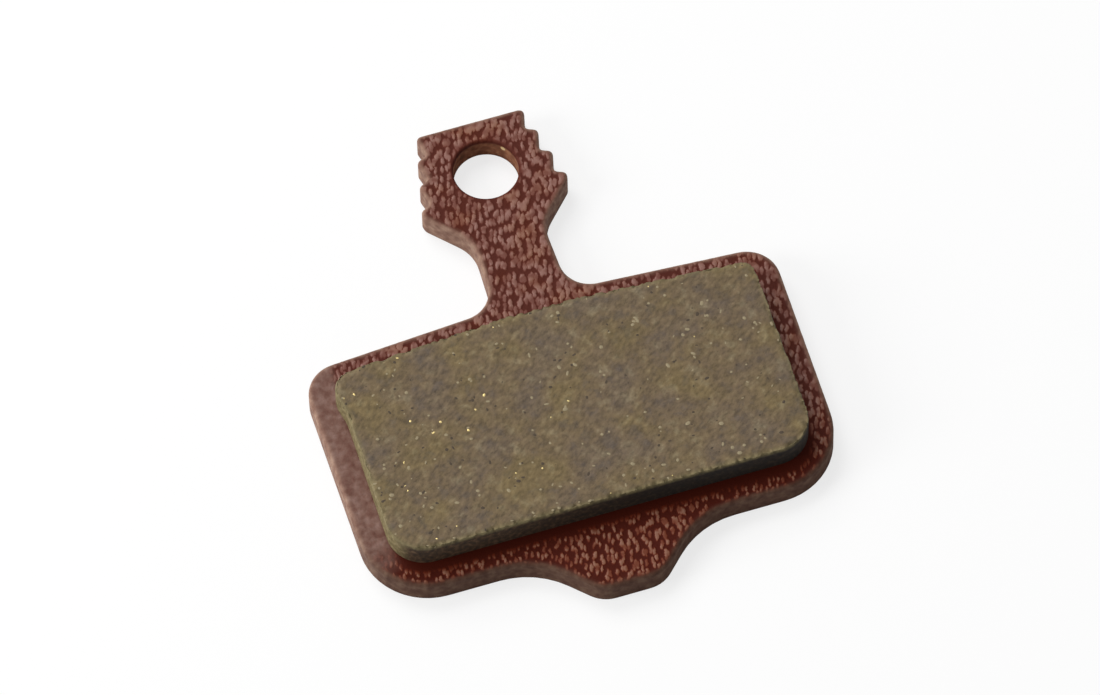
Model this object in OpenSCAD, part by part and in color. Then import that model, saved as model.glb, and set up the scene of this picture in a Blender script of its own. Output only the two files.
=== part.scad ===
// Disc brake pad for a bicycle caliper: a stamped steel backing plate with a
// serrated tab, and a moulded lining that is keyed to it by six plugs.
// Units are millimetres. The origin is the centre of the pin hole on the plate's
// back face. +Y runs up the tab, +Z runs from the back face to the rubbing face.

/* [Backing plate] */
// Thickness of the steel
plate_t = 1.65; // [1.4:0.05:2.2]
// Width across the shoulder corners
body_w = 29.6; // [29:0.1:31]
// Width across the heel corners
heel_w = 29.3; // [28.6:0.1:30.6]
// From the pin hole to the shoulder where it meets the neck
shoulder_drop = 9.45; // [9:0.05:10]
// How far the shoulder falls from the neck to its corner
shoulder_fall = 0.8; // [0.4:0.1:1.2]
// From the pin hole to the heel at its corners
heel_drop = 26.5; // [26:0.1:28]
// How far the bump at the foot reaches below the heel
bump_h = 3.2; // [2.4:0.1:4]
// Width of the bump where it leaves the heel
bump_foot_w = 10.2; // [9:0.1:12]
// Width of the bump across its lowest edge
bump_tip_w = 3.8; // [3:0.1:5]

/* [Plate corners] */
// Radius of the shoulder corners
shoulder_r = 2.1; // [1.5:0.1:2.6]
// Radius of the heel corners
heel_r = 4.2; // [3:0.1:4.6]
// Radius of the hollow on each side of the bump
hollow_r = 5.6; // [3:0.1:6]
// Radius of the bump's corners
bump_r = 2; // [1:0.1:2.4]
// Radius where the neck meets the shoulder
root_r = 1.9; // [1:0.1:2.4]
// Radius where the neck meets the tab
neck_r = 2.5; // [1.5:0.1:2.8]

/* [Tab and neck] */
// Diameter of the pin hole
pin_hole_d = 4; // [3.6:0.1:4.4]
// From the pin hole to the top edge of the tab
tab_reach = 3.5; // [3.2:0.1:4.2]
// Width of the top edge
tab_top_w = 7; // [6.8:0.1:8]
// Width of the neck where it leaves the tab
neck_top_w = 4.4; // [4:0.1:5]
// Width of the neck where it meets the shoulder
neck_root_w = 4.7; // [4.4:0.1:5.4]
// From the pin hole to the neck's narrow end
neck_drop = 4.65; // [4.4:0.05:5]

/* [Serration] */
// Number of teeth on each side of the tab
teeth = 4; // [2:1:4]
// Tooth spacing along the tab
tooth_pitch = 1.7; // [1.6:0.05:1.75]
// How far each tooth steps out from the one above it
tooth_step = 0.39; // [0.2:0.01:0.5]
// How far a tooth's long flank leans in on its way down
flank_lean = 0.36; // [0.1:0.01:0.5]
// Height of a tooth's long flank
flank_h = 1.4; // [1.2:0.05:1.5]
// Height of the side below the last tooth's tip
tab_end_h = 0.6; // [0.3:0.05:0.8]
// Radius of the tooth tips
tip_r = 0.3; // [0.1:0.05:0.4]
// Radius of the tooth roots
notch_r = 0.18; // [0.1:0.01:0.3]

/* [Lining] */
// Thickness of the lining above the plate
lining_t = 1.8; // [0.6:0.1:2.2]
// Bare strip between the lining and the plate's sides
side_margin = 1.7; // [1.2:0.1:2.4]
// Bare strip between the lining and the shoulders
shoulder_margin = 1.75; // [1.4:0.05:2]
// Bare strip between the lining and the heel
heel_margin = 1.6; // [1.2:0.1:2]
// Radius of the lining's corners at the heel
lining_heel_r = 2.3; // [1:0.1:3]
// Radius of the lining's corners at the shoulders
lining_shoulder_r = 0.9; // [0.3:0.1:1.5]
// Radius where the lining's edge bends beside the neck
lining_bend_r = 4; // [1:0.5:5]

/* [Plugs] */
// Diameter of the plug holes in the plate
plug_hole_d = 4.6; // [4:0.1:5]
// Gap all round between a plug and its hole
plug_gap = 0.02; // [0.01:0.01:0.05]
// Number of plug columns
plug_columns = 3; // [1:2:3]
// Number of plug rows
plug_rows = 2; // [1:1:2]
// Spacing of the columns
column_pitch = 8.9; // [8:0.1:9.5]
// Spacing of the rows
row_pitch = 6.7; // [6:0.1:7]
// From the pin hole to the upper plug of the middle column
plug_drop = 14.4; // [14:0.1:15]
// How far each column hangs below the one nearer the middle
column_sag = 0.5; // [0:0.1:0.8]

/* [Hidden] */

// Turn of one straight step along a rounded corner, in degrees
arc_step = 8;
// Largest share of an edge that one rounded corner may take
edge_share = 0.49;
// Extra depth of a cut beyond the faces that it goes through
cut_past = 1;
// Facets of a full circle
$fn = 96;

half_body = body_w / 2;
half_heel = heel_w / 2;
half_root = neck_root_w / 2;
half_neck = neck_top_w / 2;
half_tab = tab_top_w / 2;
half_lining = half_body - side_margin;
plug_d = plug_hole_d - 2 * plug_gap;

// Vector v at length 1
function unit(v) = v / norm(v);

// Points of the arc that rounds corner b, between neighbours a and c, at radius r
function corner_arc(a, b, c, r) =
    let (
        to_a = unit(a - b),
        to_c = unit(c - b),
        half = acos(to_a * to_c) / 2,
        room = edge_share * min(norm(a - b), norm(c - b)),
        run = min(r / tan(half), room),
        arc_r = run * tan(half),
        centre = b + unit(to_a + to_c) * arc_r / sin(half),
        first = b + to_a * run - centre,
        last = b + to_c * run - centre,
        start = atan2(first.y, first.x),
        turn = (atan2(last.y, last.x) - start + 540) % 360 - 180,
        steps = max(2, ceil(abs(turn) / arc_step))
    )
    [for (i = [0 : steps])
        centre + arc_r * [cos(start + turn * i / steps), sin(start + turn * i / steps)]];

// A closed outline from its corners, each given as [x, y, radius]
function rounded(corners) =
    let (count = len(corners))
    [for (i = [0 : count - 1])
        let (
            before = corners[(i + count - 1) % count],
            here = corners[i],
            after = corners[(i + 1) % count]
        )
        each corner_arc([before.x, before.y], [here.x, here.y], [after.x, after.y], here.z)];

// The corners of a right half followed by their mirror images, foot to top
function both_sides(half) =
    concat(half, [for (i = [len(half) - 1 : -1 : 0]) [-half[i].x, half[i].y, half[i].z]]);

// Tip of tooth k, counted from the top corner of the tab
function tooth_tip(k) = [half_tab + k * tooth_step, tab_reach - k * tooth_pitch];

// Height of the shoulder edge at distance x from the middle
function shoulder_y(x) =
    -shoulder_drop - shoulder_fall * (x - half_root) / (half_body - half_root);

// Right side of the tab: each tooth is a tip and the root below it
tab_side = [
    for (k = [0 : teeth - 1])
        each [
            [tooth_tip(k).x, tooth_tip(k).y, tip_r],
            if (k < teeth - 1)
                [tooth_tip(k).x - flank_lean, tooth_tip(k).y - flank_h, notch_r]
        ]
];
last_tip = tooth_tip(teeth - 1);
tab_end = [last_tip.x - flank_lean * tab_end_h / flank_h, last_tip.y - tab_end_h, tip_r];

// Right side of the plate below the tab, from the neck round to the bump
body_side = [
    [half_neck, -neck_drop, neck_r],
    [half_root, shoulder_y(half_root), root_r],
    [half_body, shoulder_y(half_body), shoulder_r],
    [half_heel, -heel_drop, heel_r],
    [bump_foot_w / 2, -heel_drop, hollow_r],
    [bump_tip_w / 2, -heel_drop - bump_h, bump_r]
];

// Right side of the lining: it follows the shoulder, the side and the heel
lining_side = [
    [half_root, shoulder_y(half_root) - shoulder_margin, lining_bend_r],
    [half_lining, shoulder_y(half_lining) - shoulder_margin, lining_shoulder_r],
    [half_lining, -heel_drop + heel_margin, lining_heel_r]
];

// Puts its children at each plug's place
module at_plugs() {
    middle = (plug_columns - 1) / 2;
    for (c = [-middle : middle])
        for (r = [0 : plug_rows - 1])
            translate([c * column_pitch, -plug_drop - r * row_pitch - abs(c) * column_sag])
                children();
}

// The steel plate: one stamping with the pin hole and the plug holes through it
module backing_plate() {
    color("#7c4f46")
        difference() {
            linear_extrude(height = plate_t)
                polygon(rounded(both_sides(concat(tab_side, [tab_end], body_side))));
            translate([0, 0, -cut_past])
                cylinder(d = pin_hole_d, h = plate_t + 2 * cut_past);
            at_plugs()
                translate([0, 0, -cut_past])
                    cylinder(d = plug_hole_d, h = plate_t + 2 * cut_past);
        }
}

// The lining: one moulding, its plugs flush with the plate's back face
module friction_lining() {
    color("#7e7156")
        union() {
            translate([0, 0, plate_t])
                linear_extrude(height = lining_t)
                    polygon(rounded(both_sides(lining_side)));
            at_plugs()
                cylinder(d = plug_d, h = plate_t + lining_t / 2);
        }
}

backing_plate();
friction_lining();
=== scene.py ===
"""A disc brake pad: coated steel backing plate, moulded lining and its six plugs."""

import math

import bmesh
import bpy
import numpy as np
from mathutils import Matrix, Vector
from mathutils.geometry import delaunay_2d_cdt
from mathutils.kdtree import KDTree


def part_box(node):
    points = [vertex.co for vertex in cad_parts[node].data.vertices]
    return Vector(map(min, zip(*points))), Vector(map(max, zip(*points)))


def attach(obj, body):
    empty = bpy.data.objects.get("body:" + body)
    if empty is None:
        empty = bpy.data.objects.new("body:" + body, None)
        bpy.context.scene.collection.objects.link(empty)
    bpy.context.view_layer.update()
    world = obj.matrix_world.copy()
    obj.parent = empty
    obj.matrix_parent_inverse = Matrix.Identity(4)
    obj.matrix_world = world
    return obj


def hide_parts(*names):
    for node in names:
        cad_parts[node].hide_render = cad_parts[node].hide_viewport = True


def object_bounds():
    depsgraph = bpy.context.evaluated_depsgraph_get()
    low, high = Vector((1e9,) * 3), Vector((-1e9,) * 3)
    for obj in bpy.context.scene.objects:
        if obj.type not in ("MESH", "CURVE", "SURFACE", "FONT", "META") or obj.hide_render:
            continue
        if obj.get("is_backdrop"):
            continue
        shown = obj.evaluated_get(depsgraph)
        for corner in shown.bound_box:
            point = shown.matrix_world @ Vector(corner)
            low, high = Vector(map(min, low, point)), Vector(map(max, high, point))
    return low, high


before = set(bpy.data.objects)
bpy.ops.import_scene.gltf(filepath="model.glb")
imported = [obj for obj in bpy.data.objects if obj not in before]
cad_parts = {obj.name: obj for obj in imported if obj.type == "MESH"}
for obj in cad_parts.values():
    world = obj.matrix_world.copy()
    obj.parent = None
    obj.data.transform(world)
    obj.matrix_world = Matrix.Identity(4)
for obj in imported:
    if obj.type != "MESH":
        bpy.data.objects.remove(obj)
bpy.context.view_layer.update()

# Sizes of the pad, in mm, read from the frame
MM = 0.001
PLATE_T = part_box("backing_plate")[1][2] / MM
PAD_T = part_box("friction_lining")[1][2] / MM

# Regions of a skin
FRONT, WALL, HIDDEN, BACK = 1, 2, 3, 4

# Mesh spacing, in mm, and how far its points are jittered, as a share of it
COAT_CELL = 0.075
LINING_CELL = 0.085
PLUG_CELL = 0.12
BACK_CELL = 0.5
HIDDEN_CELL = 1.0
WALL_STEP = 0.1
LOOP_STEP = 0.02
JITTER = 0.18

# Under the lining, only every so many cells of the plate's front has a point, from this far in, in mm
COARSE_CELLS = 7
COARSE_INSET = 0.2

# Points closer than this, in mm, are one point
SEAM = 0.001

# More cells than any row of a mesh has, which tells the rows apart
ROW_KEY = 100000

# Rings of points around a rounded edge
ROUND_RINGS = 4

# Edges sharper than this, in degrees, stay crisp
SHARP_ANGLE = 65

# Seeds of the two meshes and of the chips
PLATE_SEED = 11
LINING_SEED = 12
CHIP_SEED = 5

# Ridges of the wrinkle finish, in mm, as far apart as they look in the photograph
RIDGE_SPACING = 0.27
RIDGE_WANDER = 0.27
RIDGE_HEIGHT = 0.04

# Squeeze along X, Y and Z that makes the ridges long, and their slant in degrees
RIDGE_STRETCH = (1.0, 0.42, 1.0)
RIDGE_SLANT = 14.0

# Ridges grow narrower toward the heel: over this span of Y, in mm, a crest's reach goes up between these
RIDGE_REACH_Y = (-24, -20)
RIDGE_REACH = (0.1, 0.17)
RIDGE_FLANK = 0.25

# Edges of the plate, in mm: its rounded front, the pin hole's front, the broken back, and the ring inside it
FRONT_ROUND = 0.25
HOLE_ROUND = 0.2
BACK_BREAK = 0.04
BACK_LAP = 0.16

# Where the coat lies smooth, in mm: beside the lining's heel side, and on the strip left of this X
# The smooth band beside the heel side takes the dark valley colour, in part painted shadow of the lining.
HEEL_SMOOTH = 0.5
HEEL_BAND = 1.0
FADE = 0.35
STRIP_X = -12.7
STRIP_FADE = 0.5
STRIP_FOOT_Y = -25

# How much of the ridges is gone on the strip and the edges, and how much is left low on the walls
STRIP_THIN = 0.7
EDGE_THIN = 0.85
LOW_COVER = 0.3

# Where the coat turns from its own colour to the heel's, and where the edges and walls darken with painted
# shade, in mm
HEEL_TINT_Y = (-20, -25)

# The pin hole, and a small glint on its wall, a painted highlight, in mm
PIN_HOLE_R = 2.0
BORE_FADE = 0.15
BORE_GLINT = (1.5, 1.35, 1.2)

# Stains on the steel back face, in mm: place and radius; a torn edge moves each by this much
STAIN_TEAR = 0.5
STAINS = (
    (-1.1, -17.7, 0.85),
    (4.45, -11.7, 0.65),
    (8.4, -17.6, 0.38),
    (11.0, -13.2, 0.25),
    (-6.8, -24.0, 0.75),
    (13.2, -23.4, 0.4),
    (12.8, -16.5, 0.14),
    (-11.1, -19.6, 0.3),
)

# Lining, in mm: its rounded arris, how far it sits in the plate, and the room its chips take above it
LINING_ROUND = 0.07
LINING_SUNK = 0.05
FLECK_PROUD = 0.02
GRAIN_DEPTH = 0.02

# Bites out of its arris, in mm, and how much deeper they are at the heel side and less deep round the plugs
BITE_WIDTH = 0.35
BITE_DEPTH = 0.2
HEEL_BITE = 1.6
PLUG_BITE = 0.6

# The grain on its walls, as a share of the face's
WALL_GRAIN = 0.6

# The flash at its left side, in mm
FLASH_REACH = 0.25
FLASH_Y = (-14.6, -11.6)
FLASH_FADE = 0.25

# Where its walls turn from brown to black, the black being painted shade over a dark skin, and from black to
# the left end's olive, which is partly painted light from the left, in mm
WALL_SHADE_X = (-8, 3)
WALL_OLIVE_X = (-12.2, -12.9)

# Chips in the compound: how many lie on a square mm, the smallest and largest radius in mm, and where
CHIPS = {
    "Pale": (0.5, 0.06, 0.14, FRONT),
    "Brass": (0.08, 0.05, 0.1, FRONT),
    "Dark": (0.35, 0.05, 0.12, FRONT),
    "Plug pale": (2.0, 0.03, 0.08, BACK),
    "Plug dark": (2.0, 0.03, 0.09, BACK),
}

# Camera and picture: angles in degrees, distances in metres, the sensor in mm, the picture in its own points
CAMERA_AZIMUTH = -15.8
CAMERA_ELEVATION = 60.4
CAMERA_ROLL = 1.7
CAMERA_DISTANCE = 0.578
CAMERA_NEAR = 0.01
SENSOR_W = 36
PHOTO_W = 1100
PHOTO_H = 695
PAD_FILL = 0.86

# Studio: the floor's size in metres, its drop below the pad in mm, and its share of plain white
FLOOR_SIZE = 4
FLOOR_DROP = 0.02
FLOOR_WHITE = 0.75

# Strength of the surroundings' light from the left and from the right
WORLD_LIGHT = (0.46, 0.16)

# The point that the lamps aim at, in metres, and each lamp's name, place, size and power in watts
LAMP_AIM = (0, -0.013, 0.002)
LAMPS = (
    ("key", (-0.12, 0.32, 0.42), 0.35, 2.2),
    ("left", (-0.5, 0.0, 0.25), 0.25, 1.9),
)


def edge_loops(node, height):
    """Outlines, in mm, of a CAD node's flat face at that height, longest first."""
    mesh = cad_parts[node].data
    known = {}
    index = []
    for vertex in mesh.vertices:
        key = tuple(round(c / MM, 3) for c in vertex.co)
        index.append(known.setdefault(key, len(known)))
    points = np.array(list(known))
    edges = set()
    for face in mesh.polygons:
        ids = [index[i] for i in face.vertices]
        if all(abs(points[i][2] - height) < SEAM for i in ids):
            edges.update(zip(ids, ids[1:] + ids[:1]))
    after = {a: b for a, b in edges if (b, a) not in edges}
    loops = []
    while after:
        start, here = after.popitem()
        chain = [start]
        while here != start:
            chain.append(here)
            here = after.pop(here)
        loops.append(points[chain][:, :2])
    return sorted(loops, key=lambda loop: -np.ptp(loop, axis=0).sum())


def even_loop(loop, step, passes=3):
    """The outline again, with evenly spaced points and its small facets smoothed out."""
    closed = np.vstack([loop, loop[:1]])
    lengths = np.linalg.norm(np.diff(closed, axis=0), axis=1)
    run = np.concatenate([[0], np.cumsum(lengths)])
    count = round(run[-1] / step)
    places = np.arange(count) * run[-1] / count
    even = np.column_stack([np.interp(places, run, closed[:, k]) for k in (0, 1)])
    for _ in range(passes):
        even = (np.roll(even, 1, 0) + 2 * even + np.roll(even, -1, 0)) / 4
    return even


def inset(loop, distance):
    """The outline moved to the left of its direction, which is into the material."""
    along = np.roll(loop, -1, 0) - np.roll(loop, 1, 0)
    left = np.column_stack([-along[:, 1], along[:, 0]])
    return loop + distance * left / np.linalg.norm(left, axis=1)[:, None]


def inside(points, loop):
    """True for each point that lies inside the outline."""
    hits = np.zeros(len(points), dtype=bool)
    for (ax, ay), (bx, by) in zip(loop, np.roll(loop, -1, 0)):
        if ay != by:
            spans = (points[:, 1] < ay) != (points[:, 1] < by)
            cross = ax + (points[:, 1] - ay) * (bx - ax) / (by - ay)
            hits ^= spans & (points[:, 0] < cross)
    return hits


def loop_distance(points, loop):
    """Distance from each point to the outline, taken to the nearest point of a fine copy of it."""
    fine = even_loop(loop, LOOP_STEP, 0)
    tree = KDTree(len(fine))
    for k, (x, y) in enumerate(fine):
        tree.insert((x, y, 0), k)
    tree.balance()
    return np.array([tree.find((x, y, 0))[2] for x, y in points])


def cell_keys(points, low, step, dx=0, dy=0):
    """A number for the square cell that each point lies in, or for one that lies dx and dy cells away."""
    column = (points[:, 0] - low[0]) // step + dx
    row = (points[:, 1] - low[1]) // step + dy
    return column + ROW_KEY * row


def grid_points(loops, step, rng, dull=None):
    """Jittered points, step apart, between the first outline and the others, and few in a dull outline."""
    low = loops[0].min(0)
    high = loops[0].max(0)
    row = step * math.sqrt(3) / 2
    ys = np.arange(low[1], high[1], row)
    xs = np.arange(low[0], high[0], step)
    gx, gy = np.meshgrid(xs, ys)
    gx[1::2] += step / 2
    iy, ix = np.indices(gx.shape)
    sparse = ((iy % COARSE_CELLS == 0) & (ix % COARSE_CELLS == 0)).ravel()
    points = np.column_stack([gx.ravel(), gy.ravel()])
    points += rng.uniform(-JITTER, JITTER, points.shape) * step
    keep = inside(points, loops[0])
    for hole in loops[1:]:
        keep &= ~inside(points, hole)
    if dull is not None:
        keep &= sparse | ~inside(points, dull)
    points = points[keep]
    taken = cell_keys(np.vstack(loops), low, step)
    near = np.zeros(len(points), dtype=bool)
    for dx in (-1, 0, 1):
        for dy in (-1, 0, 1):
            near |= np.isin(cell_keys(points, low, step, dx, dy), taken)
    return points[~near]


def fill_face(loops, points):
    """Triangles between the first outline and the others, through the points."""
    every = np.vstack(loops + [points])
    edges = []
    start = 0
    for loop in loops:
        ids = list(range(start, start + len(loop)))
        edges += list(zip(ids, ids[1:] + ids[:1]))
        start += len(loop)
    found = delaunay_2d_cdt([Vector(p) for p in every], edges, [], 1, 1e-6)
    spots = np.array([tuple(v) for v in found[0]])
    faces = np.array([f for f in found[2] if len(f) == 3])
    middles = spots[faces].mean(1)
    keep = inside(middles, loops[0])
    for hole in loops[1:]:
        keep &= ~inside(middles, hole)
    return spots, faces[keep]


class Skin:
    """Points and faces of one closed surface, gathered patch by patch."""

    def __init__(self):
        self.points = []
        self.faces = []
        self.regions = []
        self.count = 0

    def patch(self, points, faces, region):
        """Adds a patch of faces, and the number of the region that it belongs to."""
        self.points.append(points)
        self.faces += (np.asarray(faces) + self.count).tolist()
        self.regions += [region] * len(faces)
        self.count += len(points)

    def face(self, loops, points, height, region, up=True):
        """Adds a flat face at that height."""
        spots, faces = fill_face(loops, points)
        if not up:
            faces = faces[:, ::-1]
        self.patch(np.column_stack([spots, np.full(len(spots), height)]), faces, region)

    def wall(self, rings, region):
        """Adds a wall through rings that all have the same number of points, lowest ring first."""
        count = len(rings[0])
        here = np.arange(count)
        there = (here + 1) % count
        faces = []
        for k in range(len(rings) - 1):
            low, high = k * count, (k + 1) * count
            faces.append(np.column_stack([low + here, low + there, high + there, high + here]))
        self.patch(np.vstack(rings), np.vstack(faces), region)

    def build(self, name):
        """The surface as an object, in metres, with its patches joined."""
        mesh = bpy.data.meshes.new(name)
        mesh.from_pydata((np.vstack(self.points) * MM).tolist(), [], self.faces)
        regions = mesh.attributes.new("region", "INT", "FACE")
        regions.data.foreach_set("value", np.array(self.regions, dtype=np.int32))
        made = bpy.data.objects.new(name, mesh)
        bpy.context.collection.objects.link(made)
        join_seams(made)
        return made


def join_seams(made):
    """Merges the doubled points where patches meet."""
    soft = bmesh.new()
    soft.from_mesh(made.data)
    bmesh.ops.remove_doubles(soft, verts=soft.verts, dist=SEAM * MM)
    bmesh.ops.recalc_face_normals(soft, faces=soft.faces)
    soft.to_mesh(made.data)
    soft.free()


def ring(loop, depth, height):
    """The outline inset by a depth, as 3-D points at that height."""
    flat = inset(loop, depth)
    return np.column_stack([flat, np.full(len(flat), height)])


def edge_profile(bottom, top, break_low, round_top, step):
    """Pairs of inset and height up an edge: a small break below, with a ring inside it, and a round above."""
    rise = np.linspace(bottom + break_low, top - round_top, max(2, round((top - bottom) / step)))
    turns = np.radians(np.linspace(0, 90, ROUND_RINGS + 1)[1:])
    pairs = [(BACK_LAP, bottom), (break_low, bottom)] if break_low else []
    pairs += [(0.0, z) for z in rise]
    pairs += [(round_top * (1 - math.cos(a)), top - round_top * (1 - math.sin(a))) for a in turns]
    return pairs


def skin_points(blank):
    """The points of an object's mesh, in mm."""
    points = np.empty(len(blank.data.vertices) * 3)
    blank.data.vertices.foreach_get("co", points)
    return points.reshape(-1, 3) / MM


def store_value(blank, name, values):
    """Stores a value for each point under a name that trees and materials read."""
    blank.data.attributes.new(name, "FLOAT", "POINT").data.foreach_set("value", values)


def build_plate():
    """The stamped plate: rounded front edges, a barely broken back edge, the pin hole and plug holes."""
    rng = np.random.default_rng(PLATE_SEED)
    loops = edge_loops("backing_plate", PLATE_T)
    lining = edge_loops("friction_lining", PAD_T)[0]
    outline = even_loop(loops[0], COAT_CELL)
    pin = min(loops[1:], key=lambda loop: np.linalg.norm(loop.mean(0)))
    pin_loop = even_loop(pin, COAT_CELL)
    plugs = [even_loop(loop, PLUG_CELL, 0) for loop in loops[1:] if loop is not pin]
    profile = edge_profile(0, PLATE_T, BACK_BREAK, FRONT_ROUND, WALL_STEP)
    hole_profile = edge_profile(0, PLATE_T, BACK_BREAK, HOLE_ROUND, WALL_STEP)
    skin = Skin()
    skin.wall([ring(outline, depth, z) for depth, z in profile], WALL)
    skin.wall([ring(pin_loop, depth, z) for depth, z in hole_profile], WALL)
    for loop in plugs:
        skin.wall([ring(loop, 0, 0), ring(loop, 0, PLATE_T)], HIDDEN)
    front = [ring(outline, *profile[-1])[:, :2], ring(pin_loop, *hole_profile[-1])[:, :2]] + plugs
    back = [ring(outline, *profile[0])[:, :2], ring(pin_loop, *hole_profile[0])[:, :2]] + plugs
    skin.face(front, grid_points(front, COAT_CELL, rng, inset(lining, COARSE_INSET)), PLATE_T, FRONT)
    skin.face(back, grid_points(back, BACK_CELL, rng), 0, BACK, up=False)
    blank = skin.build("plate_blank")
    points = skin_points(blank)
    flat = points[:, :2]
    gap = loop_distance(flat, lining)
    gap[inside(flat, lining)] = 0
    # Beside the heel side the coat is smooth and so takes the dark valley colour, in part painted shadow of
    # the lining.
    heel = np.clip(lining[:, 1].min() + HEEL_BAND - points[:, 1], 0, 1)
    cover = np.clip((gap - HEEL_SMOOTH * heel) / FADE, 0, 1)
    strip = np.clip((STRIP_X - points[:, 0]) / STRIP_FADE, 0, 1)
    strip *= np.clip((points[:, 1] - STRIP_FOOT_Y) / 2, 0, 1)
    rim = loop_distance(flat, outline)
    side = np.clip(1.2 - rim / FRONT_ROUND, 0, 1)
    around = np.clip((PIN_HOLE_R + FRONT_ROUND - np.linalg.norm(flat, axis=1)) / BORE_FADE, 0, 1)
    bore = around * np.clip((PLATE_T - HOLE_ROUND - points[:, 2]) / BORE_FADE, 0, 1)
    top = np.clip(points[:, 2] / PLATE_T * 2 - 1, 0, 1)
    cover *= (1 - STRIP_THIN * strip) * (1 - EDGE_THIN * np.maximum(side, around))
    cover *= LOW_COVER + (1 - LOW_COVER) * top
    cover[points[:, 2] < BACK_BREAK * 1.5] = 0
    store_value(blank, "cover", cover)
    store_value(blank, "strip", strip)
    store_value(blank, "side", side)
    store_value(blank, "bore", bore)
    return blank


def build_lining():
    """The moulding in one closed skin: block, worn arrises, and the six plugs that fill the plate's holes."""
    rng = np.random.default_rng(LINING_SEED)
    outline = even_loop(edge_loops("friction_lining", PAD_T)[0], LINING_CELL, 2)
    plugs = [even_loop(loop[::-1], PLUG_CELL, 0) for loop in edge_loops("friction_lining", 0)]
    low = PLATE_T - LINING_SUNK
    top = PAD_T - FLECK_PROUD
    share = np.clip((outline[:, 1] - FLASH_Y[0]) / (FLASH_Y[1] - FLASH_Y[0]), 0, 1)
    left = np.clip((STRIP_X - outline[:, 0]) / FLASH_FADE, 0, 1)
    outline[:, 0] -= FLASH_REACH * left * np.sin(share * math.pi) ** 2
    profile = edge_profile(low, top, 0, LINING_ROUND, WALL_STEP)
    skin = Skin()
    skin.wall([ring(outline, depth, z) for depth, z in profile], WALL)
    face = [ring(outline, *profile[-1])[:, :2]]
    skin.face(face, grid_points(face, LINING_CELL, rng), top, FRONT)
    under = [outline] + plugs
    skin.face(under, grid_points(under, HIDDEN_CELL, rng), low, HIDDEN, up=False)
    for loop in plugs:
        skin.wall([ring(loop, 0, z) for z in (FLECK_PROUD, low / 2, low)], HIDDEN)
        skin.face([loop], grid_points([loop], PLUG_CELL, rng), FLECK_PROUD, BACK, up=False)
    blank = skin.build("lining_blank")
    points = skin_points(blank)
    gap = loop_distance(points[:, :2], outline)
    near_top = np.clip(1 - (top - points[:, 2]) / BITE_WIDTH, 0, 1)
    arris = np.clip(1 - gap / BITE_WIDTH, 0, 1) * near_top
    arris[points[:, 1] < outline[:, 1].min() + BITE_WIDTH] *= HEEL_BITE
    end = points[:, 2] < FLECK_PROUD + SEAM
    for loop in plugs:
        plug_r = np.ptp(loop[:, 0]) / 2
        radius = np.linalg.norm(points[:, :2] - loop.mean(0), axis=1)
        rim = np.clip(1 - (plug_r - radius) / BITE_WIDTH, 0, 1) * (radius < plug_r + SEAM) * end
        arris = np.maximum(arris, rim * PLUG_BITE)
    store_value(blank, "arris", arris)
    store_value(blank, "grain", np.where((points[:, 2] > top - SEAM) | end, 1.0, WALL_GRAIN))
    return blank


def node(tree, kind, inputs=None, stops=None, **settings):
    """Adds a node: its settings, its inputs as values or links, and a colour ramp's (place, hex) stops."""
    made = tree.nodes.new(kind)
    for name, value in settings.items():
        setattr(made, name, value)
    named = {socket.name: socket for socket in reversed(made.inputs) if socket.enabled}
    for key, value in (inputs or {}).items():
        socket = made.inputs[key] if isinstance(key, int) else named[key]
        if isinstance(value, bpy.types.Node):
            value = next(output for output in value.outputs if output.enabled)
        if isinstance(value, bpy.types.NodeSocket):
            tree.links.new(value, socket)
        else:
            socket.default_value = value
    while stops and len(made.color_ramp.elements) < len(stops):
        made.color_ramp.elements.new(0.5)
    for k, (place, code) in enumerate(stops or []):
        made.color_ramp.elements[k].position = place
        made.color_ramp.elements[k].color = linear(code)
    return made


def geometry_tree(name, sockets):
    """A geometry tree with a geometry input and the named inputs, and its group input node."""
    tree = bpy.data.node_groups.new(name, "GeometryNodeTree")
    tree.interface.new_socket("Geometry", in_out="INPUT", socket_type="NodeSocketGeometry")
    for label, kind in sockets:
        tree.interface.new_socket(label, in_out="INPUT", socket_type=kind)
    tree.interface.new_socket("Geometry", in_out="OUTPUT", socket_type="NodeSocketGeometry")
    return tree, node(tree, "NodeGroupInput")


def run_tree(blank, tree, values, name):
    """Runs a tree on an object and returns the result as a plain mesh object; the blank is removed."""
    step = blank.modifiers.new(tree.name, "NODES")
    step.node_group = tree
    for item in tree.interface.items_tree:
        if item.in_out == "INPUT" and item.name in values:
            step[item.identifier] = values[item.name]
    bpy.context.view_layer.update()
    graph = bpy.context.evaluated_depsgraph_get()
    mesh = bpy.data.meshes.new_from_object(
        blank.evaluated_get(graph), preserve_all_data_layers=True, depsgraph=graph)
    mesh.name = name
    made = bpy.data.objects.new(name, mesh)
    bpy.context.collection.objects.link(made)
    blank.modifiers.remove(step)
    bpy.data.objects.remove(blank)
    return made


def linear(code, alpha=1.0):
    """An sRGB hex colour as the linear values that Blender's sockets take."""
    values = [int(code[k:k + 2], 16) / 255 for k in (1, 3, 5)]
    return [v / 12.92 if v <= 0.04045 else ((v + 0.055) / 1.055) ** 2.4 for v in values] + [alpha]


def material(name):
    """An empty material: its tree, its Principled shader and its Object coordinates."""
    made = bpy.data.materials.new(name)
    made.use_nodes = True
    tree = made.node_tree
    shader = tree.nodes["Principled BSDF"]
    place = node(tree, "ShaderNodeTexCoord").outputs["Object"]
    return made, tree, shader, place


def stored(tree, name):
    """A value that the mesh carries for each point, read in a material."""
    return node(tree, "ShaderNodeAttribute", attribute_name=name).outputs["Fac"]


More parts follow.
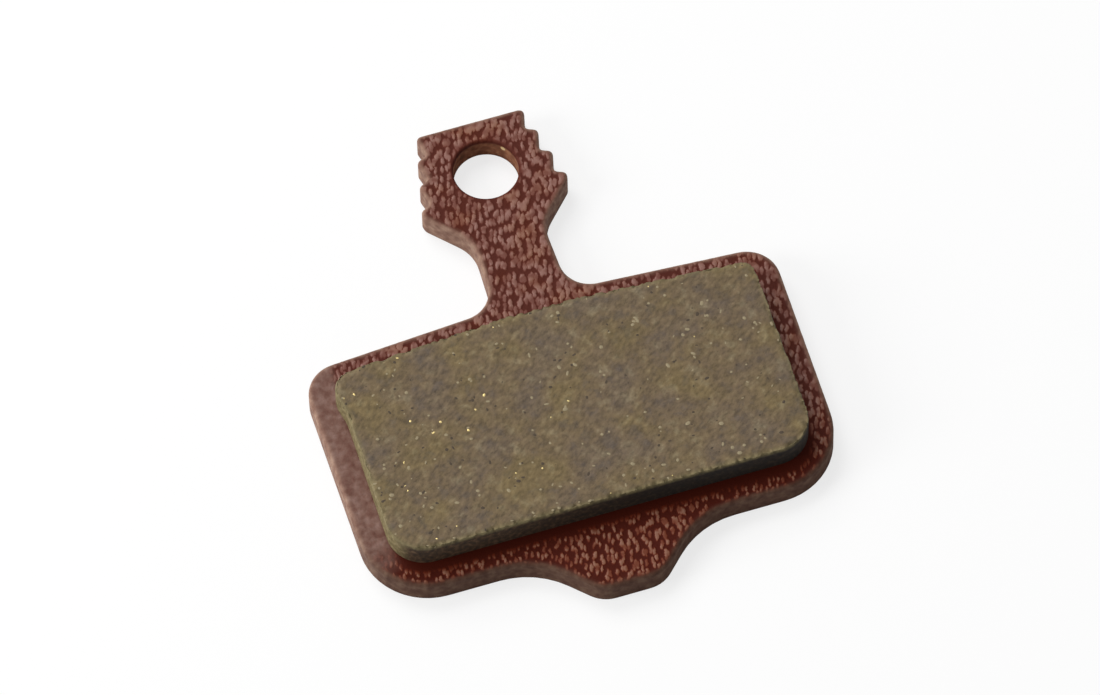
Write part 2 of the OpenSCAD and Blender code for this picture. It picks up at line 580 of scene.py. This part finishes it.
def ridge_pattern(tree, place):
    """Short ridges, from 0 in the valleys to 1 on the crests, alike in a geometry tree and a material."""
    bend = node(tree, "ShaderNodeTexNoise", {"Vector": place, "Scale": 1 / (0.3 * MM), "Detail": 2.0})
    shift = node(tree, "ShaderNodeVectorMath", {
        0: bend.outputs["Color"], "Scale": RIDGE_WANDER * MM}, operation="SCALE")
    bent = node(tree, "ShaderNodeVectorMath", {0: place, 1: shift}, operation="ADD")
    slanted = node(tree, "ShaderNodeVectorRotate", {
        "Vector": bent, "Angle": math.radians(RIDGE_SLANT)}, rotation_type="Z_AXIS")
    stretched = node(tree, "ShaderNodeVectorMath", {0: slanted, 1: RIDGE_STRETCH}, operation="MULTIPLY")
    cell = node(tree, "ShaderNodeTexVoronoi", {
        "Vector": stretched, "Scale": 1 / (RIDGE_SPACING * MM)}, voronoi_dimensions="2D")
    broad = node(tree, "ShaderNodeTexNoise", {"Vector": place, "Scale": 1 / (3.5 * MM), "Detail": 1.0})
    along = node(tree, "ShaderNodeSeparateXYZ", {"Vector": place}).outputs["Y"]
    full = node(tree, "ShaderNodeMapRange", {
        "Value": along, "From Min": RIDGE_REACH_Y[0] * MM, "From Max": RIDGE_REACH_Y[1] * MM,
        "To Min": RIDGE_REACH[0], "To Max": RIDGE_REACH[1]})
    foot = node(tree, "ShaderNodeMath", {0: broad, 1: 0.3, 2: full}, operation="MULTIPLY_ADD")
    rim = node(tree, "ShaderNodeMath", {0: foot, 1: RIDGE_FLANK}, operation="ADD")
    crest = node(tree, "ShaderNodeMapRange", {
        "Value": cell.outputs["Distance"], "From Min": foot, "From Max": rim, "To Min": 1.0, "To Max": 0.0},
        interpolation_type="SMOOTHSTEP")
    lift = node(tree, "ShaderNodeTexNoise", {"Vector": place, "Scale": 1 / (0.45 * MM), "Detail": 0.0})
    height = node(tree, "ShaderNodeMapRange", {
        "Value": lift, "From Min": 0.35, "From Max": 0.58, "To Min": 0.55, "To Max": 1.0})
    return node(tree, "ShaderNodeMath", {0: crest, 1: height}, operation="MULTIPLY")


def wrinkle_coat():
    """Wrinkle-finish enamel, cured on: short ridges over deep red-brown valleys, the crests lightened pink as
    painted highlight and the valleys darkened as painted shade.
    """
    made, tree, shader, place = material("wrinkle_enamel")
    seat = node(tree, "ShaderNodeAttribute", attribute_name="seat").outputs["Vector"]
    ridge = node(tree, "ShaderNodeMath", {
        0: ridge_pattern(tree, seat), 1: stored(tree, "cover")}, operation="MULTIPLY")
    along = node(tree, "ShaderNodeSeparateXYZ", {"Vector": place}).outputs["Y"]
    rusty = node(tree, "ShaderNodeTexNoise", {"Vector": place, "Scale": 1 / (1.8 * MM), "Detail": 2.0})
    # Each ramp runs from valley to crest: painted shade in the valleys, painted highlight on the crests, over
    # the enamel's own red-brown.
    deep = node(tree, "ShaderNodeValToRGB", {"Fac": ridge}, stops=[
        (0.0, "#4b2017"), (0.35, "#5f3127"), (0.7, "#754c42"), (1.0, "#855f55")])
    warm = node(tree, "ShaderNodeValToRGB", {"Fac": ridge}, stops=[
        (0.0, "#4a1b0d"), (0.35, "#612f20"), (0.7, "#784c3b"), (1.0, "#865d4c")])
    heel = node(tree, "ShaderNodeValToRGB", {"Fac": ridge}, stops=[
        (0.0, "#3f0f03"), (0.35, "#571d0a"), (0.7, "#703e2b"), (1.0, "#7f5644")])
    spread = node(tree, "ShaderNodeMapRange", {"Value": rusty, "From Min": 0.5, "From Max": 0.72})
    upper = node(tree, "ShaderNodeMix", {"Factor": spread, "A": deep, "B": warm}, data_type="RGBA")
    low = node(tree, "ShaderNodeMapRange", {
        "Value": along, "From Min": HEEL_TINT_Y[0] * MM, "From Max": HEEL_TINT_Y[1] * MM})
    front = node(tree, "ShaderNodeMix", {"Factor": low, "A": upper, "B": heel}, data_type="RGBA")
    faint = node(tree, "ShaderNodeTexNoise", {"Vector": place, "Scale": 1 / (0.5 * MM), "Detail": 3.0})
    # The strip's paler grey-pink is partly a thinner, smoother coat and partly painted sheen from the left.
    thin_coat_sheen = node(tree, "ShaderNodeValToRGB", {"Fac": faint}, stops=[
        (0.3, "#64463d"), (0.5, "#785c52"), (0.7, "#8b7168")])
    strip = node(tree, "ShaderNodeMath", {0: stored(tree, "strip"), 1: 0.75}, operation="MULTIPLY")
    faded = node(tree, "ShaderNodeMix", {"Factor": strip, "A": front, "B": thin_coat_sheen}, data_type="RGBA")
    edge = node(tree, "ShaderNodeValToRGB", {"Fac": faint}, stops=[
        (0.3, "#74564a"), (0.5, "#8a6c5d"), (0.7, "#a08472")])
    # Toward the heel the edges and walls darken: painted shade.
    shaded = node(tree, "ShaderNodeMix", {"Factor": low, "A": edge, "B": linear("#a8a19b")},
        data_type="RGBA", blend_type="MULTIPLY")
    side = node(tree, "ShaderNodeMath", {0: stored(tree, "side"), 1: 0.9}, operation="MULTIPLY")
    walled = node(tree, "ShaderNodeMix", {"Factor": side, "A": faded, "B": shaded}, data_type="RGBA")
    hole = node(tree, "ShaderNodeValToRGB", {"Fac": faint}, stops=[
        (0.3, "#64402c"), (0.5, "#80523b"), (0.7, "#9a6e50")])
    bored = node(tree, "ShaderNodeMix", {
        "Factor": stored(tree, "bore"), "A": walled, "B": hole}, data_type="RGBA")
    # A small cream-gold glint on the bore wall: painted highlight.
    glint_gap = node(tree, "ShaderNodeVectorMath", {
        0: place, 1: [c * MM for c in BORE_GLINT]}, operation="DISTANCE")
    bare = node(tree, "ShaderNodeMapRange", {
        "Value": glint_gap, "From Min": 0.12 * MM, "From Max": 0.2 * MM, "To Min": 1.0, "To Max": 0.0})
    glinted = node(tree, "ShaderNodeMix", {
        "Factor": bare, "A": bored, "B": linear("#d9bf8c")}, data_type="RGBA")
    height = node(tree, "ShaderNodeSeparateXYZ", {"Vector": place}).outputs["Z"]
    # The ring round the back edge turns pale copper: coat ground thin there, brightened further as painted
    # highlight along the rim.
    lap = node(tree, "ShaderNodeMapRange", {
        "Value": height, "From Min": BACK_BREAK * MM, "From Max": 0.0, "To Min": 0.0, "To Max": 0.85})
    patchy = node(tree, "ShaderNodeMapRange", {
        "Value": faint, "From Min": 0.35, "From Max": 0.55, "To Min": 0.3})
    rubbed_and_highlit = node(tree, "ShaderNodeMath", {0: lap, 1: patchy}, operation="MULTIPLY")
    lapped_and_highlit = node(tree, "ShaderNodeMix", {
        "Factor": rubbed_and_highlit, "A": glinted, "B": linear("#b58d78")}, data_type="RGBA")
    tree.links.new(lapped_and_highlit.outputs[2], shader.inputs["Base Color"])
    gloss = node(tree, "ShaderNodeMapRange", {"Value": ridge, "To Min": 0.7, "To Max": 0.34})
    tree.links.new(gloss.outputs[0], shader.inputs["Roughness"])
    peel = node(tree, "ShaderNodeTexNoise", {"Vector": place, "Scale": 1 / (0.16 * MM), "Detail": 2.0})
    bump = node(tree, "ShaderNodeBump", {"Height": peel, "Distance": 0.02 * MM, "Strength": 0.6})
    tree.links.new(bump.outputs[0], shader.inputs["Normal"])
    shader.inputs["Specular IOR Level"].default_value = 0.1
    shader.inputs["IOR"].default_value = 1.5
    return made


def ground_steel():
    """Ground mild steel: the bare back face, a dull grey with grinding marks and stains; the coppery rim
    round it is in the coat.
    """
    made, tree, shader, place = material("ground_steel")
    cloud = node(tree, "ShaderNodeTexNoise", {
        "Vector": place, "Scale": 1 / (1.1 * MM), "Detail": 6.0, "Roughness": 0.62})
    grey = node(tree, "ShaderNodeValToRGB", {"Fac": cloud}, stops=[
        (0.3, "#565250"), (0.45, "#625e5c"), (0.6, "#6a6460"), (0.74, "#79736d")])
    # Grinding marks 0.09 mm apart: real ones are finer, and this is about the finest that the render shows
    lay = node(tree, "ShaderNodeMapping", {
        "Vector": place, "Rotation": (0.0, 0.0, math.radians(12)), "Scale": (14.0, 1.0, 1.0)},
        vector_type="TEXTURE")
    marks = node(tree, "ShaderNodeTexNoise", {"Vector": lay, "Scale": 1 / (0.09 * MM), "Detail": 2.0})
    shade = node(tree, "ShaderNodeMapRange", {
        "Value": marks, "From Min": 0.3, "From Max": 0.7, "To Min": 0.86, "To Max": 1.14})
    ground = node(tree, "ShaderNodeMix", {
        "Factor": 1.0, "A": grey, "B": shade}, data_type="RGBA", blend_type="MULTIPLY")
    wobble = node(tree, "ShaderNodeTexNoise", {"Vector": place, "Scale": 1 / (0.5 * MM), "Detail": 2.0})
    shift = node(tree, "ShaderNodeVectorMath", {
        0: wobble.outputs["Color"], "Scale": STAIN_TEAR * MM}, operation="SCALE")
    torn = node(tree, "ShaderNodeVectorMath", {0: place, 1: shift}, operation="ADD")
    stain = node(tree, "ShaderNodeValue")
    # The noise averages a half on each axis, so the torn places lie half a tear farther along each
    half = STAIN_TEAR / 2
    for x, y, r in STAINS:
        away = node(tree, "ShaderNodeVectorMath", {
            0: torn, 1: ((x + half) * MM, (y + half) * MM, half * MM)}, operation="DISTANCE")
        spot = node(tree, "ShaderNodeMapRange", {
            "Value": away, "From Min": r * 0.75 * MM, "From Max": r * 1.1 * MM,
            "To Min": 0.75, "To Max": 0.0})
        stain = node(tree, "ShaderNodeMath", {0: stain, 1: spot}, operation="MAXIMUM")
    stained = node(tree, "ShaderNodeMix", {
        "Factor": stain, "A": ground, "B": linear("#3f3833")}, data_type="RGBA")
    tree.links.new(stained.outputs[2], shader.inputs["Base Color"])
    dull = node(tree, "ShaderNodeMapRange", {"Value": stain, "To Min": 0.5, "To Max": 0.7})
    tree.links.new(dull.outputs[0], shader.inputs["Roughness"])
    bright = node(tree, "ShaderNodeMapRange", {
        "Value": cloud, "From Min": 0.35, "From Max": 0.65, "To Min": 0.45, "To Max": 0.7})
    tree.links.new(bright.outputs[0], shader.inputs["Metallic"])
    dent = node(tree, "ShaderNodeMath", {0: marks, 1: 0.4, 2: cloud}, operation="MULTIPLY_ADD")
    bump = node(tree, "ShaderNodeBump", {"Height": dent, "Distance": 0.02 * MM, "Strength": 0.6})
    tree.links.new(bump.outputs[0], shader.inputs["Normal"])
    return made


def lining_face():
    """Moulded resin compound, rubbed flat: matt olive-brown in clouds, with a fine slanting grain."""
    made, tree, shader, place = material("lining_compound")
    cloud = node(tree, "ShaderNodeTexNoise", {"Vector": place, "Scale": 1 / (2.6 * MM), "Detail": 2.0})
    base = node(tree, "ShaderNodeValToRGB", {"Fac": cloud}, stops=[
        (0.34, "#62564a"), (0.46, "#695a46"), (0.56, "#6b5c42"), (0.66, "#71623f")])
    patch = node(tree, "ShaderNodeTexNoise", {
        "Vector": place, "Scale": 1 / (0.8 * MM), "Detail": 3.0, "Roughness": 0.6})
    tint = node(tree, "ShaderNodeValToRGB", {"Fac": patch}, stops=[
        (0.34, "#544a41"), (0.45, "#62523e"), (0.56, "#6e5d44"), (0.68, "#84775c")])
    body = node(tree, "ShaderNodeMix", {"Factor": 0.5, "A": base, "B": tint}, data_type="RGBA")
    drawn = node(tree, "ShaderNodeMapping", {
        "Vector": place, "Rotation": (0.0, 0.0, math.radians(38)), "Scale": (1.8, 1.0, 1.0)},
        vector_type="TEXTURE")
    fine = node(tree, "ShaderNodeTexNoise", {
        "Vector": drawn, "Scale": 1 / (0.24 * MM), "Detail": 4.0, "Roughness": 0.65})
    shade = node(tree, "ShaderNodeMapRange", {
        "Value": fine, "From Min": 0.3, "From Max": 0.7, "To Min": 0.64, "To Max": 1.36})
    grained = node(tree, "ShaderNodeMix", {
        "Factor": 1.0, "A": body, "B": shade}, data_type="RGBA", blend_type="MULTIPLY")
    edge = node(tree, "ShaderNodeMath", {0: stored(tree, "arris"), 1: 0.5}, operation="MULTIPLY")
    worn = node(tree, "ShaderNodeMix", {
        "Factor": edge, "A": grained, "B": linear("#7d7250")}, data_type="RGBA")
    tree.links.new(worn.outputs[2], shader.inputs["Base Color"])
    bump = node(tree, "ShaderNodeBump", {"Height": fine, "Distance": 0.03 * MM, "Strength": 0.8})
    tree.links.new(bump.outputs[0], shader.inputs["Normal"])
    shader.inputs["Roughness"].default_value = 0.85
    shader.inputs["Specular IOR Level"].default_value = 0.3
    return made


def lining_wall():
    """Moulded resin skin on the lining's sides: rough, brown to black as painted shade over a dark skin,
    olive at the left end, partly as painted light.
    """
    made, tree, shader, place = material("lining_skin")
    rough = node(tree, "ShaderNodeTexNoise", {"Vector": place, "Scale": 1 / (0.3 * MM), "Detail": 4.0})
    brown = node(tree, "ShaderNodeValToRGB", {"Fac": rough}, stops=[
        (0.3, "#20160d"), (0.5, "#3a2a1b"), (0.7, "#5a4532")])
    # The black stands in for shade on the walls; the olive at the left end is partly painted light.
    shade_black = node(tree, "ShaderNodeValToRGB", {"Fac": rough}, stops=[
        (0.3, "#0c0805"), (0.5, "#19120c"), (0.7, "#30261c")])
    across = node(tree, "ShaderNodeSeparateXYZ", {"Vector": place}).outputs["X"]
    dark = node(tree, "ShaderNodeMapRange", {
        "Value": across, "From Min": WALL_SHADE_X[0] * MM, "From Max": WALL_SHADE_X[1] * MM})
    skin = node(tree, "ShaderNodeMix", {"Factor": dark, "A": brown, "B": shade_black}, data_type="RGBA")
    left = node(tree, "ShaderNodeMapRange", {
        "Value": across, "From Min": WALL_OLIVE_X[0] * MM, "From Max": WALL_OLIVE_X[1] * MM})
    olive = node(tree, "ShaderNodeValToRGB", {"Fac": rough}, stops=[
        (0.3, "#5c5136"), (0.5, "#756947"), (0.7, "#8d8060")])
    sided = node(tree, "ShaderNodeMix", {"Factor": left, "A": skin, "B": olive}, data_type="RGBA")
    worn = node(tree, "ShaderNodeMix", {
        "Factor": stored(tree, "arris"), "A": sided, "B": linear("#6f6446")}, data_type="RGBA")
    tree.links.new(worn.outputs[2], shader.inputs["Base Color"])
    shader.inputs["Roughness"].default_value = 0.75
    shader.inputs["Specular IOR Level"].default_value = 0.3
    return made


def plug_face():
    """Resin compound ground flush in the plug holes: golden brown, speckled light and dark."""
    made, tree, shader, place = material("ground_compound")
    speck = node(tree, "ShaderNodeTexNoise", {
        "Vector": place, "Scale": 1 / (0.24 * MM), "Detail": 3.0, "Roughness": 0.6})
    golden = node(tree, "ShaderNodeValToRGB", {"Fac": speck}, stops=[
        (0.34, "#3a2b13"), (0.45, "#5c4722"), (0.56, "#765d33"), (0.68, "#9a8150")])
    brown = node(tree, "ShaderNodeValToRGB", {"Fac": speck}, stops=[
        (0.34, "#2e2112"), (0.45, "#473420"), (0.56, "#61492c"), (0.68, "#87704a")])
    batch = node(tree, "ShaderNodeTexNoise", {"Vector": place, "Scale": 1 / (7 * MM), "Detail": 0.0})
    share = node(tree, "ShaderNodeMapRange", {"Value": batch, "From Min": 0.4, "From Max": 0.6})
    colour = node(tree, "ShaderNodeMix", {"Factor": share, "A": golden, "B": brown}, data_type="RGBA")
    tree.links.new(colour.outputs[2], shader.inputs["Base Color"])
    bump = node(tree, "ShaderNodeBump", {"Height": speck, "Distance": 0.05 * MM, "Strength": 0.8})
    tree.links.new(bump.outputs[0], shader.inputs["Normal"])
    shader.inputs["Roughness"].default_value = 0.75
    shader.inputs["Specular IOR Level"].default_value = 0.3
    return made


def chip_finish(name, code, roughness, metallic=0.0):
    """Finish of the chips in the compound, by their colour, roughness and whether they are metal."""
    made, tree, shader, place = material(name)
    uneven = node(tree, "ShaderNodeTexNoise", {"Vector": place, "Scale": 1 / (0.1 * MM)})
    shade = node(tree, "ShaderNodeMapRange", {"Value": uneven, "To Min": 0.7, "To Max": 1.3})
    colour = node(tree, "ShaderNodeMix", {
        "Factor": 1.0, "A": linear(code), "B": shade}, data_type="RGBA", blend_type="MULTIPLY")
    tree.links.new(colour.outputs[2], shader.inputs["Base Color"])
    shader.inputs["Roughness"].default_value = roughness
    shader.inputs["Metallic"].default_value = metallic
    return made


def coat_tree():
    """Raises the coat's ridges along the normal, under the cover that the blank carries."""
    tree, given = geometry_tree("coat_relief", [
        ("Height", "NodeSocketFloat"), ("Coat", "NodeSocketMaterial"), ("Steel", "NodeSocketMaterial")])
    place = node(tree, "GeometryNodeInputPosition")
    kept = node(tree, "GeometryNodeStoreNamedAttribute", {
        "Geometry": given.outputs["Geometry"], "Name": "seat", "Value": place},
        data_type="FLOAT_VECTOR", domain="POINT")
    seat = node(tree, "GeometryNodeInputNamedAttribute", {"Name": "seat"}, data_type="FLOAT_VECTOR")
    depth = node(tree, "ShaderNodeMath", {0: ridge_pattern(tree, seat), 1: 1.0}, operation="SUBTRACT")
    cover = node(tree, "GeometryNodeInputNamedAttribute", {"Name": "cover"}, data_type="FLOAT")
    sink = node(tree, "ShaderNodeMath", {0: depth, 1: cover}, operation="MULTIPLY")
    drop = node(tree, "ShaderNodeMath", {0: sink, 1: given.outputs["Height"]}, operation="MULTIPLY")
    normal = node(tree, "GeometryNodeInputNormal")
    offset = node(tree, "ShaderNodeVectorMath", {0: normal, "Scale": drop}, operation="SCALE")
    moved = node(tree, "GeometryNodeSetPosition", {"Geometry": kept, "Offset": offset})
    real = node(tree, "GeometryNodeRealizeInstances", {"Geometry": moved})
    coat = node(tree, "GeometryNodeSetMaterial", {"Geometry": real, "Material": given.outputs["Coat"]})
    region = node(tree, "GeometryNodeInputNamedAttribute", {"Name": "region"}, data_type="INT")
    bare = node(tree, "FunctionNodeCompare", {
        "A": region, "B": WALL}, data_type="INT", operation="GREATER_THAN")
    steel = node(tree, "GeometryNodeSetMaterial", {
        "Geometry": coat, "Selection": bare, "Material": given.outputs["Steel"]})
    node(tree, "NodeGroupOutput", {"Geometry": steel})
    return tree


def lining_tree():
    """Roughens the moulding, bites its arrises, and scatters chips in its rubbing face and plug ends."""
    tree, given = geometry_tree("lining_grain", [
        ("Grain", "NodeSocketFloat"), ("Bite", "NodeSocketFloat"), ("Seed", "NodeSocketInt"),
        ("Face", "NodeSocketMaterial"), ("Wall", "NodeSocketMaterial"), ("Plug", "NodeSocketMaterial")]
        + [(kind, "NodeSocketMaterial") for kind in CHIPS])
    place = node(tree, "GeometryNodeInputPosition")
    fine = node(tree, "ShaderNodeTexNoise", {"Vector": place, "Scale": 1 / (0.22 * MM), "Detail": 2.0})
    bites = node(tree, "ShaderNodeTexNoise", {"Vector": place, "Scale": 1 / (0.4 * MM), "Detail": 2.0})
    bitten = node(tree, "ShaderNodeMapRange", {"Value": bites, "From Min": 0.42, "From Max": 0.7})
    arris = node(tree, "GeometryNodeInputNamedAttribute", {"Name": "arris"}, data_type="FLOAT")
    grain = node(tree, "GeometryNodeInputNamedAttribute", {"Name": "grain"}, data_type="FLOAT")
    bite = node(tree, "ShaderNodeMath", {0: bitten, 1: arris}, operation="MULTIPLY")
    bite = node(tree, "ShaderNodeMath", {0: bite, 1: given.outputs["Bite"]}, operation="MULTIPLY")
    rough = node(tree, "ShaderNodeMath", {0: fine, 1: grain}, operation="MULTIPLY")
    rough = node(tree, "ShaderNodeMath", {
        0: rough, 1: given.outputs["Grain"], 2: bite}, operation="MULTIPLY_ADD")
    drop = node(tree, "ShaderNodeMath", {0: rough, 1: -1.0}, operation="MULTIPLY")
    normal = node(tree, "GeometryNodeInputNormal")
    offset = node(tree, "ShaderNodeVectorMath", {0: normal, "Scale": drop}, operation="SCALE")
    block = node(tree, "GeometryNodeSetPosition", {"Geometry": given.outputs["Geometry"], "Offset": offset})
    region = node(tree, "GeometryNodeInputNamedAttribute", {"Name": "region"}, data_type="INT")
    for area, finish in ((FRONT, "Face"), (WALL, "Wall"), (HIDDEN, "Wall"), (BACK, "Plug")):
        here = node(tree, "FunctionNodeCompare", {"A": region, "B": area}, data_type="INT", operation="EQUAL")
        block = node(tree, "GeometryNodeSetMaterial", {
            "Geometry": block, "Selection": here, "Material": given.outputs[finish]})
    joined = node(tree, "GeometryNodeJoinGeometry", {"Geometry": block})
    cluster = node(tree, "ShaderNodeTexNoise", {"Vector": place, "Scale": 1 / (2.5 * MM), "Detail": 1.0})
    for k, (kind, (density, small, large, area)) in enumerate(CHIPS.items()):
        here = node(tree, "FunctionNodeCompare", {"A": region, "B": area}, data_type="INT", operation="EQUAL")
        seed = node(tree, "ShaderNodeMath", {0: given.outputs["Seed"], 1: float(k)}, operation="ADD")
        crowd = node(tree, "ShaderNodeMapRange", {
            "Value": cluster, "From Min": 0.42, "From Max": 0.58,
            "To Min": 0.4 * density / MM ** 2, "To Max": 1.7 * density / MM ** 2})
        spots = node(tree, "GeometryNodeDistributePointsOnFaces", {
            "Mesh": block, "Selection": here, "Density": crowd, "Seed": seed})
        chip = node(tree, "GeometryNodeMeshCone", {
            "Vertices": 6, "Side Segments": 1, "Radius Top": 0.6, "Radius Bottom": 1.0, "Depth": 0.12},
            fill_type="NGON")
        finish = node(tree, "GeometryNodeSetMaterial", {"Geometry": chip, "Material": given.outputs[kind]})
        size = node(tree, "FunctionNodeRandomValue", {
            "Min": small * MM, "Max": large * MM, "Seed": 3 + k}, data_type="FLOAT")
        shape = node(tree, "FunctionNodeRandomValue", {
            "Min": (0.7, 0.5, 0.8), "Max": (1.5, 1.0, 1.0), "Seed": 13 + k}, data_type="FLOAT_VECTOR")
        scale = node(tree, "ShaderNodeVectorMath", {0: shape, "Scale": size}, operation="SCALE")
        over = 0.0 if area == FRONT else math.pi
        turn = node(tree, "FunctionNodeRandomValue", {
            "Min": (over, 0.0, 0.0), "Max": (over, 0.0, math.tau), "Seed": 23 + k}, data_type="FLOAT_VECTOR")
        laid = node(tree, "GeometryNodeInstanceOnPoints", {
            "Points": spots, "Instance": finish, "Rotation": turn, "Scale": scale})
        tree.links.new(laid.outputs[0], joined.inputs[0])
    real = node(tree, "GeometryNodeRealizeInstances", {"Geometry": joined})
    node(tree, "NodeGroupOutput", {"Geometry": real})
    return tree


def finish_piece(made, slot, *nodes):
    """Makes a piece ride with the pad and stand for CAD nodes; the slot is not used."""
    made.data.shade_smooth()
    made.data.set_sharp_from_angle(angle=math.radians(SHARP_ANGLE))
    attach(made, "root")
    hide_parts(*nodes)


plate = run_tree(build_plate(), coat_tree(), {
    "Height": RIDGE_HEIGHT * MM, "Coat": wrinkle_coat(), "Steel": ground_steel()}, "plate")
finish_piece(plate, "coated_steel", "backing_plate")

lining = run_tree(build_lining(), lining_tree(), {
    "Grain": GRAIN_DEPTH * MM, "Bite": BITE_DEPTH * MM, "Seed": CHIP_SEED,
    "Face": lining_face(), "Wall": lining_wall(), "Plug": plug_face(),
    "Pale": chip_finish("mineral_chip", "#8c7f62", 0.75),
    "Brass": chip_finish("brass_chip", "#b3a06c", 0.45, 0.8),
    "Dark": chip_finish("graphite_chip", "#43382b", 0.9),
    "Plug pale": chip_finish("plug_mineral_chip", "#8f7a4c", 0.6),
    "Plug dark": chip_finish("plug_graphite_chip", "#33281a", 0.6)}, "lining")
finish_piece(lining, "lining_compound", "friction_lining")


def studio():
    """Pale floor, white surroundings, a broad lamp over the tab end and a weaker one from the left."""
    bpy.ops.mesh.primitive_plane_add(size=FLOOR_SIZE, location=(0, 0, -FLOOR_DROP * MM))
    floor = bpy.context.object
    floor.name = "floor"
    made, tree, shader, _ = material("floor_paper")
    shader.inputs["Base Color"].default_value = (0.9, 0.9, 0.9, 1)
    shader.inputs["Roughness"].default_value = 0.9
    seen = node(tree, "ShaderNodeLightPath")
    share = node(tree, "ShaderNodeMath", {
        0: seen.outputs["Is Camera Ray"], 1: FLOOR_WHITE}, operation="MULTIPLY")
    glow = node(tree, "ShaderNodeEmission", {"Color": (1, 1, 1, 1), "Strength": 1.0})
    paper = node(tree, "ShaderNodeMixShader", {0: share, 1: shader, 2: glow})
    tree.links.new(paper.outputs[0], tree.nodes["Material Output"].inputs["Surface"])
    floor.data.materials.append(made)
    floor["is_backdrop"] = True
    world = bpy.data.worlds.new("studio")
    bpy.context.scene.world = world
    world.use_nodes = True
    tree = world.node_tree
    back = tree.nodes["Background"]
    back.inputs["Color"].default_value = (1, 1, 1, 1)
    way = node(tree, "ShaderNodeTexCoord").outputs["Generated"]
    across = node(tree, "ShaderNodeSeparateXYZ", {"Vector": way}).outputs["X"]
    level = node(tree, "ShaderNodeMapRange", {
        "Value": across, "From Min": -1.0, "From Max": 1.0,
        "To Min": WORLD_LIGHT[0], "To Max": WORLD_LIGHT[1]})
    tree.links.new(level.outputs[0], back.inputs["Strength"])
    seen = node(tree, "ShaderNodeLightPath")
    white = node(tree, "ShaderNodeBackground", {"Color": (1, 1, 1, 1), "Strength": 1.0})
    direct = node(tree, "ShaderNodeMath", {
        0: seen.outputs["Is Camera Ray"], 1: seen.outputs["Is Glossy Ray"]}, operation="MAXIMUM")
    clear = node(tree, "ShaderNodeMath", {
        0: direct, 1: seen.outputs["Is Transmission Ray"]}, operation="MAXIMUM")
    mix = node(tree, "ShaderNodeMixShader", {0: clear, 1: back, 2: white})
    tree.links.new(mix.outputs[0], tree.nodes["World Output"].inputs["Surface"])
    for name, spot, size, power in LAMPS:
        data = bpy.data.lights.new(name, "AREA")
        data.size = size
        data.energy = power
        lamp = bpy.data.objects.new(name, data)
        lamp.location = spot
        lamp.rotation_euler = (Vector(LAMP_AIM) - Vector(spot)).to_track_quat("-Z", "Y").to_euler()
        bpy.context.collection.objects.link(lamp)


def set_camera():
    """The photograph's viewing direction and distance, with a lens that fills the picture with the pad."""
    low, high = (Vector(corner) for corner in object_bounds())
    centre = (low + high) / 2
    az, el = math.radians(CAMERA_AZIMUTH), math.radians(CAMERA_ELEVATION)
    away = Vector((math.sin(az) * math.cos(el), -math.cos(az) * math.cos(el), math.sin(el)))
    data = bpy.data.cameras.new("camera")
    camera = bpy.data.objects.new("camera", data)
    bpy.context.collection.objects.link(camera)
    camera.location = centre + away * CAMERA_DISTANCE
    turn = away.to_track_quat("Z", "Y")
    camera.rotation_euler = turn.to_euler()
    camera.rotation_euler.rotate_axis("Z", -math.radians(CAMERA_ROLL))
    tall = (high.y - low.y) * math.sin(el) + (high.x - low.x) * math.sin(abs(az)) * math.sin(el)
    data.sensor_width = SENSOR_W
    data.lens = SENSOR_W * CAMERA_DISTANCE * PAD_FILL * PHOTO_H / PHOTO_W / tall
    data.clip_start = CAMERA_NEAR
    bpy.context.scene.camera = camera


studio()
set_camera()
bpy.context.scene.view_settings.view_transform = "Standard"
